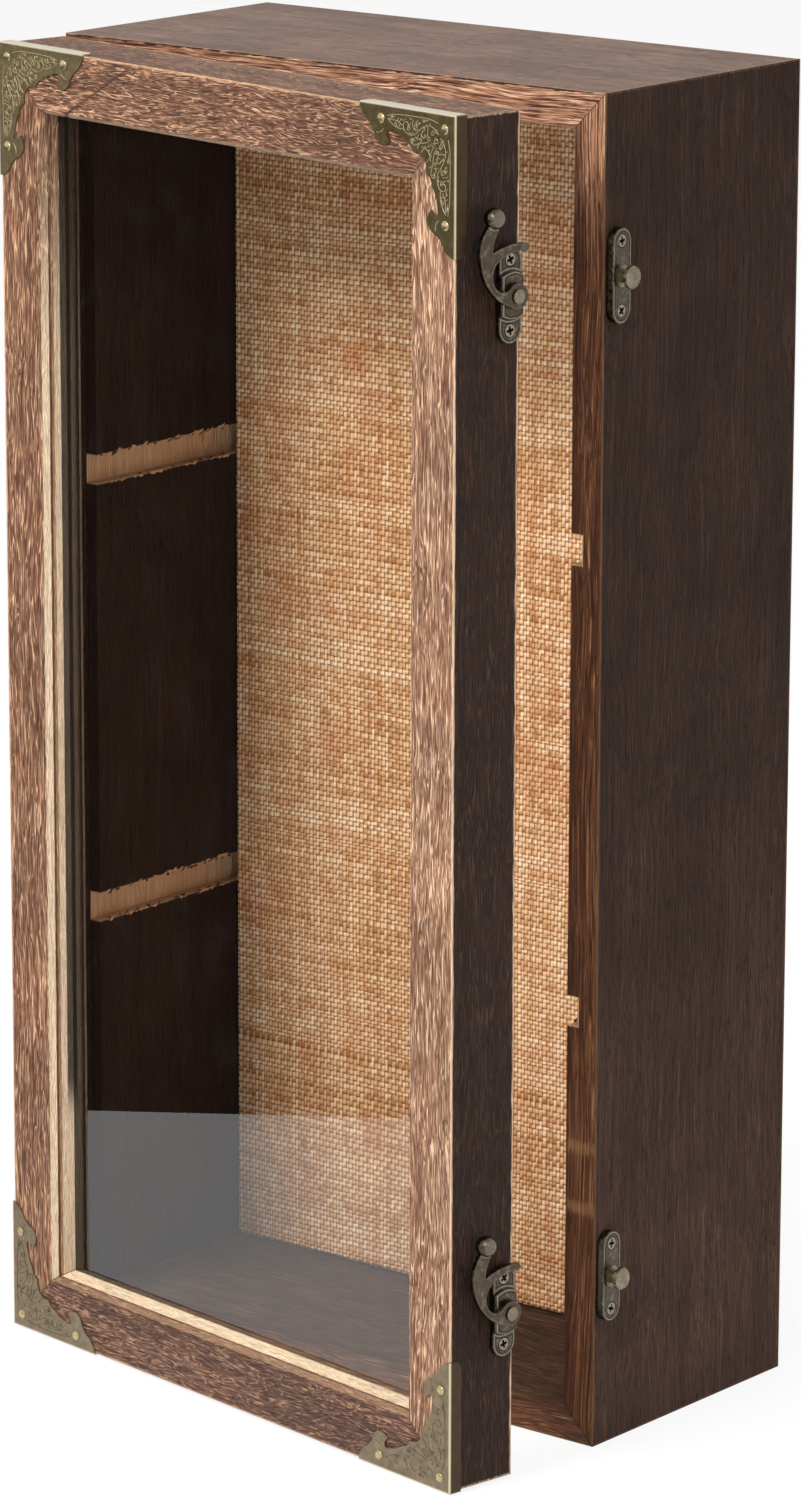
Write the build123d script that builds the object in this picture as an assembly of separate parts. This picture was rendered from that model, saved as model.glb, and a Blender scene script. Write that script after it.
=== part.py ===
from build123d import *
import os
from math import atan2, cos, degrees, radians, sin

# A tall, narrow wall-or-table display case: a mitred wooden box with a burlap-covered pin board,
# and a glazed door with bronze corner protectors that two hook latches hold shut.
# X is the width, Y runs from the front (negative) to the back, Z is up, all in millimetres.
# The origin is the centre of the underside. The door stands ajar, as its rest position.

# ------------------------------------------------------------------ case
case_width = 202.0
case_depth = 93.5
case_height = 400.0
board = 10.7                    # thickness of the four mitred boards
back_thickness = 3.0            # back board, let into a rebate round the back
rebate_width = 5.0
rebate_clearance = 0.25
pin_board_thickness = 25.0
burlap_thickness = 1.4
burlap_turn = 12.0              # burlap turned over the pin board's edges
burlap_clearance = 0.3
groove_height = 8.8             # two pairs of shelf grooves in the side panels
groove_depth = 3.9
groove_offset = 68.4            # groove centres above and below mid height

# ------------------------------------------------------------------ door
door_gap = 0.5                  # between the closed door and the case
door_thickness = 23.7
door_short = 1.8                # how much shorter the door is than the case
door_ajar = 9.8                 # degrees open at rest
frame_face = 17.8               # flat face of the moulding
chamfer_width = 1.4             # first member of the sight edge
chamfer_depth = 2.0
quirk = 0.35                    # small sunk line between the two members
frame_lip = 20.4                # widest point of the moulding, at the glass
glass_inset = 7.4               # front face of the frame to the glass
frame_back = 9.0                # width of the frame behind the glass
glass_thickness = 2.0
glass_clearance = 0.3
bead_width = 5.6
bead_depth = 6.0
bead_round = 2.5

# ------------------------------------------------------------------ corner protectors
sheet = 0.6
protector_leg = 39.3
flange = 3.8
flange_round = 2.6
fold_radius = 0.45
# scalloped edge of one leg: (distance from the outer edge, distance along the leg)
leg_shoulder = [(2.6, 38.2), (4.3, 36.4)]
leg_hollow = [(6.1, 34.2), (8.5, 32.9)]
leg_lobe = [(10.8, 30.0), (9.3, 26.6)]
leg_notch = [(8.0, 27.8), (6.4, 27.6)]
leg_sweep = [(7.1, 23.6), (8.8, 20.1)]
leg_scallop = [(9.7, 18.0), (11.5, 16.8)]
centre_scallop = 12.6           # deepest point of the scallop on the diagonal

# ------------------------------------------------------------------ latches and catches
latch_inset = 52.0              # latch centres from the top and from the underside
plate_length = 27.5
plate_width = 8.4
plate_screw = 10.0              # screws above and below the plate's centre
latch_plate_thickness = 1.6
pad_radius = 7.0
pad_height = 1.4                # raised pad round the latch pivot
latch_edge = 0.2                # latch plate to the door's back edge
catch_plate_thickness = 2.5
catch_edge = 1.0                # catch plate to the front edge of the case
running_gap = 0.1               # hook to its pad and to its rivet head
arm_thickness = 1.8
boss_radius = 3.8
ball_radius = 3.1
ball_centre = (-8.6, 22.6)
ball_rise = 0.3                 # ball centre above the middle of the arm
ball_bands = 8                  # flat bands that the ball is turned in
beak_inner = 12.6               # beak is concentric with the pivot
beak_tip_angle = 78.0
beak_root_angle = 130.0
beak_tip_width = 2.5
boss_low_angle = 230.0          # where the arm's two edges leave the boss
boss_high_angle = 133.0
# points round the arm's edge from the boss, with the pivot at (0, 0)
belly, heel = (-9.6, 1.6), (-13.7, 9.2)
back_swell, nape = (-14.0, 14.6), (-10.9, 20.6)
neck, neck_hollow = (-6.4, 20.3), (-8.7, 16.6)
crotch, throat_hollow = (-9.5, 13.0), (-9.4, 6.4)
throat, boss_hollow = (-6.6, 1.9), (-4.6, 1.6)
rivet_radius = 1.4
rivet_head = 2.1
rivet_head_height = 0.8
rivet_head_edge = 0.35          # chamfer round the head
tail_flare = 0.6                # rivets are closed into countersinks at the back of their plates
tail_depth = 0.8
lower_hook_lift = 2.5           # degrees the lower hook stands above the upper one's angle
stud_flange = 3.2
stud_flange_height = 0.3
stud_neck = 2.0
stud_neck_height = 2.5
stud_head = 3.3
stud_head_height = 1.6
stud_head_edge = 0.4
stud_shank = 1.6

# ------------------------------------------------------------------ hinges
leaf_length = 30.0
leaf_width = 14.0
leaf_thickness = 1.0
knuckle_radius = 2.05
knuckle_clearance = 0.3         # barrel to the side of the case
knuckle_gap = 0.15              # between neighbouring knuckles
pin_radius = 1.0
pin_head_radius = 1.7
pin_head_height = 0.7
pin_head_edge = 0.3
leaf_screw = 9.0                # screws above and below the hinge's centre

# ------------------------------------------------------------------ screws, nails and fits
fit = 0.05
head_rim = 0.15                 # straight rim of a countersunk head
pin_sides = 10                  # screws and nails are small, so they and their holes are many-sided
plate_screw_head = 2.15
plate_screw_shank = 1.1
plate_screw_length = 9.0
leaf_screw_head = 1.9
leaf_screw_shank = 1.0
leaf_screw_length = 8.0
nail_head = 1.65
nail_dome = 0.9
nail_crown = 0.85               # the dome's flat middle
nail_bend = 1.3                 # radius where its steep edge ends
nail_shoulder = 0.6             # height of that edge
nail_shank = 0.6
nail_length = 8.0
corner_nail = 3.7               # nail on the diagonal, from both edges
leg_nail = (3.4, 30.3)          # nail near the leg's end
brad_wire = (1.2, 1.0)          # brads of flat wire, driven flush
brad_length = 12.0
brads_high = 4                  # brads along each long side of the back board
brads_wide = 2

# ------------------------------------------------------------------ places worked out from them
half_width = case_width / 2
half_depth = case_depth / 2
half_height = case_height / 2
inner_width = case_width - 2 * board
inner_height = case_height - 2 * board
door_back = -half_depth - door_gap
door_front = door_back - door_thickness
door_height = case_height - door_short
hinge_x = -half_width - knuckle_clearance - knuckle_radius
hinge_y = -half_depth - door_gap / 2
latch_y = door_back - latch_edge - plate_width / 2
catch_y = -half_depth + catch_edge + plate_width / 2
latch_heights = {"upper": case_height - latch_inset, "lower": latch_inset}
arm_base = latch_plate_thickness + pad_height + running_gap
ajar = Pos(hinge_x, hinge_y, 0) * Rot(0, 0, -door_ajar) * Pos(-hinge_x, -hinge_y, 0)
sides = {"left": 0, "top": 90, "right": 180, "bottom": -90}


# ------------------------------------------------------------------ shared shapes
def mitred_bar(section, length):
    """A bar along Z with the given section, its outer face at x = 0 and both ends mitred."""
    bar = extrude(section, length / 2, both=True)
    for end in (1, -1):
        cut = Plane(origin=(0, 0, end * length / 2), z_dir=(1, 0, end))
        bar = split(bar, bisect_by=cut, keep=Keep.BOTTOM)
    return bar


def framed(section, width, height, front, side):
    """One side of a mitred frame, standing round the middle of the case."""
    upright = side in ("left", "right")
    length, reach = (height, width) if upright else (width, height)
    place = Pos(0, front, half_height) * Rot(0, sides[side], 0) * Pos(-reach / 2, 0, 0)
    return place * mitred_bar(section, length)


def disc(radius, z):
    """A many-sided face at height z."""
    return Pos(0, 0, z) * RegularPolygon(radius, pin_sides)


def prism(radius, length, gap=0.0):
    """A many-sided pin down from z = 0, or with a gap, the hole for it."""
    return Pos(0, 0, -length - gap) * extrude(disc(radius + gap, 0), length + gap)


def frustum(low, high, z, height):
    """A many-sided cone that stands at height z and narrows from radius low to radius high."""
    slope = degrees(atan2((low - high) * cos(radians(180 / pin_sides)), height))
    return extrude(disc(low, z), height, taper=slope)


def countersunk(head, shank, length, gap=0.0):
    """A countersunk screw with the top of its head at z = 0, or with a gap, the hole for it."""
    under_cone = head_rim + head - shank
    rim = Pos(0, 0, gap) * prism(head + gap, head_rim + gap)
    cone = Rot(180, 0, 0) * frustum(head + gap, shank + gap, head_rim, head - shank)
    return rim + cone + Pos(0, 0, -under_cone) * prism(shank + gap, length + gap - under_cone)


def tail(shank, gap=0.0):
    """The closed end of a rivet, flared at z = 0."""
    return Pos(0, 0, tail_depth / 2) * Cone(shank + tail_flare + gap, shank + gap, tail_depth)


def right_face(y, z):
    """Frame on the right side: x to the back, y up, z out of the wood."""
    return Plane(origin=(half_width, y, z), x_dir=(0, 1, 0), z_dir=(1, 0, 0))


def left_face(y, z):
    """Frame on the left side: x to the front, y up, z out of the wood."""
    return Plane(origin=(-half_width, y, z), x_dir=(0, -1, 0), z_dir=(-1, 0, 0))


def plate_screws(thickness, gap=0.0):
    """The two screws of a latch or catch plate, or their holes."""
    screw = countersunk(plate_screw_head, plate_screw_shank, plate_screw_length, gap)
    return [Pos(0, end * plate_screw, thickness) * screw for end in (1, -1)]


# ------------------------------------------------------------------ latches on the door's right side
def latch_plate():
    pad = extrude(Circle(pad_radius) & Rectangle(plate_width, 2 * pad_radius),
                  latch_plate_thickness + pad_height)
    plate = extrude(Rot(0, 0, 90) * SlotOverall(plate_length, plate_width), latch_plate_thickness)
    plate += chamfer(pad.edges().group_by(Axis.Z)[-1], pad_height / 2)
    bore = Cylinder(rivet_radius + fit, 4 * plate_width) + tail(rivet_radius, fit)
    return plate - bore - plate_screws(latch_plate_thickness, fit)


def button(radius, height, edge):
    """A low round head that stands on z = 0, its top edge chamfered."""
    head = extrude(Circle(radius), height)
    return chamfer(head.edges().group_by(Axis.Z)[-1], edge)


def latch_rivet():
    top = arm_base + arm_thickness + running_gap
    shank = extrude(Circle(rivet_radius), top)
    head = button(rivet_head, rivet_head_height, rivet_head_edge)
    return shank + tail(rivet_radius) + Pos(0, 0, top) * head


def on_circle(radius, angle):
    return (radius * cos(radians(angle)), radius * sin(radians(angle)))


def ball():
    """The grip's ball, turned in flat bands."""
    outline = [on_circle(ball_radius, 180 * band / ball_bands - 90) for band in range(ball_bands + 1)]
    return revolve(Plane.XZ * make_face(Polyline(*outline, close=True)), Axis.Z)


def hook():
    """Hook with its pivot at the origin: arm, ball grip and a beak concentric with the pivot."""
    beak_outer = beak_inner + beak_tip_width
    beak_middle = beak_inner + beak_tip_width / 2
    beak_middle_angle = (beak_tip_angle + beak_root_angle) / 2
    boss_low, boss_high = on_circle(boss_radius, boss_low_angle), on_circle(boss_radius, boss_high_angle)
    tip_outer = on_circle(beak_outer, beak_tip_angle)
    tip_inner = on_circle(beak_inner, beak_tip_angle)
    tip_end = on_circle(beak_middle, beak_tip_angle - 5)
    beak_root = on_circle(beak_inner, beak_root_angle)
    outline = [
        ThreePointArc(boss_low, belly, heel),
        ThreePointArc(heel, back_swell, nape),
        Line(nape, neck),
        ThreePointArc(neck, neck_hollow, crotch),
        ThreePointArc(crotch, on_circle(beak_outer, beak_middle_angle), tip_outer),
        ThreePointArc(tip_outer, tip_end, tip_inner),
        ThreePointArc(tip_inner, on_circle(beak_inner, beak_middle_angle), beak_root),
        ThreePointArc(beak_root, throat_hollow, throat),
        ThreePointArc(throat, boss_hollow, boss_high),
        Line(boss_high, (0, 0)),
        Line((0, 0), boss_low),
    ]
    arm = extrude(make_face(outline) + Circle(boss_radius), arm_thickness)
    grip = Pos(*ball_centre, arm_thickness / 2 + ball_rise) * ball()
    return Pos(0, 0, arm_base) * (arm + grip - Cylinder(rivet_radius + fit, 4 * arm_thickness))


# ------------------------------------------------------------------ catches on the case's right side
def catch_plate():
    plate = extrude(Rot(0, 0, 90) * SlotOverall(plate_length, plate_width), catch_plate_thickness)
    bore = Cylinder(stud_shank + fit, 4 * plate_width) + tail(stud_shank, fit)
    return plate - bore - plate_screws(catch_plate_thickness, fit)


def catch_stud():
    """A spool that the hook's beak passes behind."""
    flange_disc = Cylinder(stud_flange, stud_flange_height, align=(Align.CENTER, Align.CENTER, Align.MIN))
    neck = Cylinder(stud_neck, stud_neck_height, align=(Align.CENTER, Align.CENTER, Align.MIN))
    head_base = stud_flange_height + stud_neck_height
    head = Cylinder(stud_head, stud_head_height, align=(Align.CENTER, Align.CENTER, Align.MIN))
    head = chamfer(head.edges().group_by(Axis.Z)[-1], stud_head_edge)
    spool = flange_disc + Pos(0, 0, stud_flange_height) * neck + Pos(0, 0, head_base) * head
    shank = extrude(Circle(stud_shank), catch_plate_thickness)
    return shank + tail(stud_shank) + Pos(0, 0, catch_plate_thickness) * spool


# ------------------------------------------------------------------ hinges on the left side
axis_out = knuckle_clearance + knuckle_radius     # pin centre above the side faces
knuckle_length = (leaf_length - 2 * knuckle_gap) / 3
knuckle_step = knuckle_length + knuckle_gap
leaf_start = knuckle_radius + knuckle_clearance   # leaf edge to the pin centre, beside a knuckle


def leaf_screws(gap=0.0):
    screw = countersunk(leaf_screw_head, leaf_screw_shank, leaf_screw_length, gap)
    along = (leaf_start + leaf_width) / 2
    return [Pos(along, end * leaf_screw, leaf_thickness) * screw for end in (1, -1)]


def hinge_leaf(steps):
    """A leaf that lies on z = 0 and runs along +X from the pin, with knuckles at the given steps."""
    low = (Align.MIN, Align.CENTER, Align.MIN)
    leaf = Pos(leaf_start, 0, 0) * Box(leaf_width - leaf_start, leaf_length, leaf_thickness, align=low)
    for step in steps:
        height = step * knuckle_step
        knuckle = Pos(0, height, axis_out) * Rot(90, 0, 0) * Cylinder(knuckle_radius, knuckle_length)
        web = Pos(door_gap / 2, height, 0) * Box(leaf_start, knuckle_length, leaf_thickness, align=low)
        leaf += [knuckle, web]
    bore = Pos(0, 0, axis_out) * Rot(90, 0, 0) * Cylinder(pin_radius + fit, 2 * leaf_length)
    return leaf - bore - leaf_screws(fit)


def hinge_pin():
    pin = Cylinder(pin_radius, leaf_length)
    for end in (0, 180):
        head = button(pin_head_radius, pin_head_height, pin_head_edge)
        pin += Rot(end, 0, 0) * Pos(0, 0, leaf_length / 2) * head
    return pin


# ------------------------------------------------------------------ corner protectors
def flipped(points):
    return [(along, across) for across, along in points]


def protector():
    """One protector with the door's corner at the origin, its legs along +X and +Z."""
    leg = [leg_shoulder, leg_hollow, leg_lobe, leg_notch, leg_sweep, leg_scallop]
    edge = []
    start = (0, protector_leg)
    for middle, end in leg:
        edge += [ThreePointArc(start, middle, end), ThreePointArc(*flipped([start, middle, end]))]
        start = end
    edge.append(ThreePointArc(start, (centre_scallop, centre_scallop), start[::-1]))
    corner = (-sheet, -sheet)
    edge += [Line((0, protector_leg), (-sheet, protector_leg)), Line((-sheet, protector_leg), corner),
             Line(corner, (protector_leg, -sheet)), Line((protector_leg, -sheet), (protector_leg, 0))]
    front = extrude(Plane.XZ * make_face(edge), sheet)
    side_flange = Pos(-sheet, -sheet, -sheet) * Box(
        sheet, flange + sheet, protector_leg + sheet, align=(Align.MIN, Align.MIN, Align.MIN))
    free_corner = side_flange.edges().filter_by(Axis.X).sort_by(lambda e: e.center().Y + e.center().Z)[-1]
    side_flange = fillet(free_corner, flange_round)
    end_flange = mirror(side_flange, about=Plane(origin=(0, 0, 0), z_dir=(1, 0, -1)))
    body = front + side_flange + end_flange
    folds = [e for e in body.edges().filter_by(GeomType.LINE)
             if sum(abs(c + sheet) < fit / 10 for c in tuple(e.center())) == 2 and e.length > flange]
    body = fillet(folds, fold_radius)
    return body - [nail_place(spot) * prism(nail_shank, nail_length, fit) for spot in nail_spots]


nail_spots = [(corner_nail, corner_nail), leg_nail, leg_nail[::-1]]


def nail_place(spot):
    """A nail's place on the outer face of the sheet, with its head towards the front."""
    return Pos(spot[0], -sheet, spot[1]) * Rot(90, 0, 0)


def dome_nail():
    edge = frustum(nail_head, nail_bend, 0, nail_shoulder)
    crown = frustum(nail_bend, nail_crown, nail_shoulder, nail_dome - nail_shoulder)
    return prism(nail_shank, nail_length) + edge + crown


corners = {
    "bottom_left": Pos(-half_width, door_front, half_height - door_height / 2),
    "top_left": Pos(-half_width, door_front, half_height + door_height / 2) * Rot(0, 90, 0),
    "top_right": Pos(half_width, door_front, half_height + door_height / 2) * Rot(0, 180, 0),
    "bottom_right": Pos(half_width, door_front, half_height - door_height / 2) * Rot(0, -90, 0),
}

# ------------------------------------------------------------------ fasteners at their places
nail_places = [corner * nail_place(spot) for corner in corners.values() for spot in nail_spots]
nail_holes = [place * prism(nail_shank, nail_length, fit) for place in nail_places]

latch_faces = {level: right_face(latch_y, z) for level, z in latch_heights.items()}
catch_faces = {level: right_face(catch_y, z) for level, z in latch_heights.items()}
door_leaf_faces = {level: left_face(hinge_y, z) for level, z in latch_heights.items()}
case_leaf_faces = {level: face * Rot(0, 0, 180) for level, face in door_leaf_faces.items()}

latch_screws = [f * s for f in latch_faces.values() for s in plate_screws(latch_plate_thickness)]
latch_holes = [f * s for f in latch_faces.values() for s in plate_screws(latch_plate_thickness, fit)]
catch_screws = [f * s for f in catch_faces.values() for s in plate_screws(catch_plate_thickness)]
catch_holes = [f * s for f in catch_faces.values() for s in plate_screws(catch_plate_thickness, fit)]
door_leaf_screws = [f * s for f in door_leaf_faces.values() for s in leaf_screws()]
door_leaf_holes = [f * s for f in door_leaf_faces.values() for s in leaf_screws(fit)]
case_leaf_screws = [f * s for f in case_leaf_faces.values() for s in leaf_screws()]
case_leaf_holes = [f * s for f in case_leaf_faces.values() for s in leaf_screws(fit)]


def brad(gap=0.0):
    """A brad with its top at z = 0, or with a gap, the hole for it."""
    wide, thick = brad_wire
    return Pos(0, 0, -brad_length / 2) * Box(wide + 2 * gap, thick + 2 * gap, brad_length + 2 * gap)


brad_inset = board - rebate_width / 2
brad_x = half_width - brad_inset
brad_z = half_height - brad_inset
brad_spots = [(side * brad_x, (2 * n + 1 - brads_high) * brad_z / brads_high)
              for side in (1, -1) for n in range(brads_high)]
brad_spots += [((2 * n + 1 - brads_wide) * brad_x / brads_wide, side * brad_z)
               for side in (1, -1) for n in range(brads_wide)]
brad_places = [Pos(x, half_depth, half_height + z) * Rot(-90, 0, 0) for x, z in brad_spots]
brads = [place * brad() for place in brad_places]
brad_holes = [place * brad(fit) for place in brad_places]

# ------------------------------------------------------------------ case
parts = {}

board_section = make_face(Polyline(
    (0, 0), (board, 0), (board, case_depth - back_thickness),
    (board - rebate_width, case_depth - back_thickness), (board - rebate_width, case_depth),
    (0, case_depth), close=True))
for side in sides:
    panel = framed(board_section, case_width, case_height, -half_depth, side)
    parts[side + ("_side_panel" if side in ("left", "right") else "_panel")] = panel
for side, name in ((-1, "left_side_panel"), (1, "right_side_panel")):
    for level in (1, -1):
        groove_place = Pos(side * inner_width / 2, 0, half_height + level * groove_offset)
        parts[name] -= groove_place * Box(2 * groove_depth, 2 * case_depth, groove_height)
for name in parts:
    parts[name] -= brad_holes
parts["right_side_panel"] -= catch_holes
parts["left_side_panel"] -= case_leaf_holes

back_width = inner_width + 2 * (rebate_width - rebate_clearance)
back_height = inner_height + 2 * (rebate_width - rebate_clearance)
back_board = Pos(0, half_depth - back_thickness / 2, half_height) * Box(
    back_width, back_thickness, back_height)
parts["back_board"] = back_board - brad_holes
parts["back_board_nails"] = brads

pin_back = half_depth - back_thickness
pin_front = pin_back - pin_board_thickness
cover_width = inner_width - 2 * burlap_clearance
cover_height = inner_height - 2 * burlap_clearance
pin_width = cover_width - 2 * burlap_thickness
pin_height = cover_height - 2 * burlap_thickness
parts["pin_board"] = Pos(0, pin_front, half_height) * Box(
    pin_width, pin_board_thickness, pin_height, align=(Align.CENTER, Align.MIN, Align.CENTER))
cover = Pos(0, pin_front - burlap_thickness, half_height) * Box(
    cover_width, burlap_thickness + burlap_turn, cover_height, align=(Align.CENTER, Align.MIN, Align.CENTER))
parts["burlap_cover"] = cover - parts["pin_board"]

# ------------------------------------------------------------------ door
moulding_section = make_face(Polyline(
    (0, 0), (frame_face, 0),
    (frame_face + chamfer_width, chamfer_depth),
    (frame_face + chamfer_width - quirk, chamfer_depth + quirk),
    (frame_face + chamfer_width, chamfer_depth + 2 * quirk),
    (frame_lip, glass_inset), (frame_back, glass_inset),
    (frame_back, door_thickness), (0, door_thickness), close=True))
bead_section = fillet(Rectangle(bead_width, bead_depth, align=Align.MIN).vertices().sort_by(
    lambda v: v.X + v.Y)[-1], bead_round)
rebate_span = case_width - 2 * frame_back
rebate_rise = door_height - 2 * frame_back
door = {}
for side in sides:
    piece = side + ("_stile" if side in ("left", "right") else "_rail")
    door[piece] = framed(moulding_section, case_width, door_height, door_front, side) - nail_holes
    door[side + "_glazing_bead"] = framed(
        bead_section, rebate_span, rebate_rise, door_front + glass_inset + glass_thickness, side)
door["right_stile"] -= latch_holes
door["left_stile"] -= door_leaf_holes
door["glass_pane"] = Pos(0, door_front + glass_inset, half_height) * Box(
    rebate_span - 2 * glass_clearance, glass_thickness, rebate_rise - 2 * glass_clearance,
    align=(Align.CENTER, Align.MIN, Align.CENTER))

one_protector = protector()
for name, corner in corners.items():
    door[name + "_protector"] = corner * one_protector
door["corner_nails"] = [place * dome_nail() for place in nail_places]
door["latch_plate_screws"] = latch_screws
door["hinge_door_screws"] = door_leaf_screws

hook_lift = {"upper": 0.0, "lower": lower_hook_lift}
for level in latch_heights:
    door[level + "_latch_plate"] = latch_faces[level] * latch_plate()
    door[level + "_latch_rivet"] = latch_faces[level] * latch_rivet()
    door[level + "_hook"] = latch_faces[level] * Rot(0, 0, hook_lift[level]) * hook()
    door[level + "_hinge_door_leaf"] = door_leaf_faces[level] * hinge_leaf([0])
    parts[level + "_catch_plate"] = catch_faces[level] * catch_plate()
    parts[level + "_catch_stud"] = catch_faces[level] * catch_stud()
    parts[level + "_hinge_case_leaf"] = case_leaf_faces[level] * hinge_leaf([1, -1])
    parts[level + "_hinge_pin"] = Pos(hinge_x, hinge_y, latch_heights[level]) * hinge_pin()
parts["catch_plate_screws"] = catch_screws
parts["hinge_case_screws"] = case_leaf_screws

for name, piece in door.items():
    parts[name] = [ajar * one for one in piece] if isinstance(piece, list) else ajar * piece

# ------------------------------------------------------------------ files
os.makedirs("parts", exist_ok=True)
for name, piece in parts.items():
    solids = piece if isinstance(piece, list) else [piece]
    export_step(Compound([one.solid() for one in solids]), f"parts/{name}.step")
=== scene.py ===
import random
from collections import namedtuple
from itertools import product
from math import cos, exp, pi, radians, sin, sqrt

import bpy
import numpy as np
from mathutils import Matrix, Vector
from mathutils.kdtree import KDTree


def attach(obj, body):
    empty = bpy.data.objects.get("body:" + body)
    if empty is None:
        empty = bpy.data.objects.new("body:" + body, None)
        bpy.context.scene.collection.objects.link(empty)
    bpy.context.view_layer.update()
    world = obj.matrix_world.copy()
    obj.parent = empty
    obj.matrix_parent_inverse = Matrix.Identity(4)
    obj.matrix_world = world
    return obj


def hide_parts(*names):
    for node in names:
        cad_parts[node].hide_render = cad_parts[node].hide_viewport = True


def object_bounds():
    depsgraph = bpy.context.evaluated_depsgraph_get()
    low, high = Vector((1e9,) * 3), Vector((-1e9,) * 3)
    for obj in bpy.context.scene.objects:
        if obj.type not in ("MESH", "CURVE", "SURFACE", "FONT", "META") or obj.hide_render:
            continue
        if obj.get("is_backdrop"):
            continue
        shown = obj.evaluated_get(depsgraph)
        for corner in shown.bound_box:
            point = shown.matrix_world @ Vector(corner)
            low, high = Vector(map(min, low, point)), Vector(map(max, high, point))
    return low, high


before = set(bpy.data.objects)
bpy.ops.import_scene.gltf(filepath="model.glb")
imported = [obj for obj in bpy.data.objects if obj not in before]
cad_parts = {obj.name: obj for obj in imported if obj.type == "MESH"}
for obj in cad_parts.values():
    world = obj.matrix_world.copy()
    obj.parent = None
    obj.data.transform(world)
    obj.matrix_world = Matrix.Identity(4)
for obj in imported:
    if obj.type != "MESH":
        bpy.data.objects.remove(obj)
cad_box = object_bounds()
scene = bpy.context.scene

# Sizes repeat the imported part's, in metres. Materials measure in millimetres.
MM = 0.001
AJAR = radians(9.8)  # how far the door stands open at rest
HALF_WIDTH, HALF_DEPTH, HEIGHT = 0.101, 0.04675, 0.4
DOOR_FOOT, DOOR_HEAD = 0.0009, 0.3991
DOOR_FRONT = -0.07095  # the closed door's face
HINGE = (-0.10335, -0.047)
LATCH_Y, CATCH_Y = -0.05165, -0.04155
LEVELS = {"upper": 0.348, "lower": 0.052}
GROOVE_RISE, GROOVE_HALF = 0.0684, 0.0044  # a shelf groove's middle from mid-height, and its half height
PLATE_THICK = 0.6  # a corner protector's sheet, in millimetres
MID = HEIGHT / 2 / MM  # mid-height, for materials
FACE = DOOR_FRONT / MM  # the closed door's face, for materials


# ---------------- node helpers
def operation(name):
    return lambda self, a, b=None: self.math(name, a, b)


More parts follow.
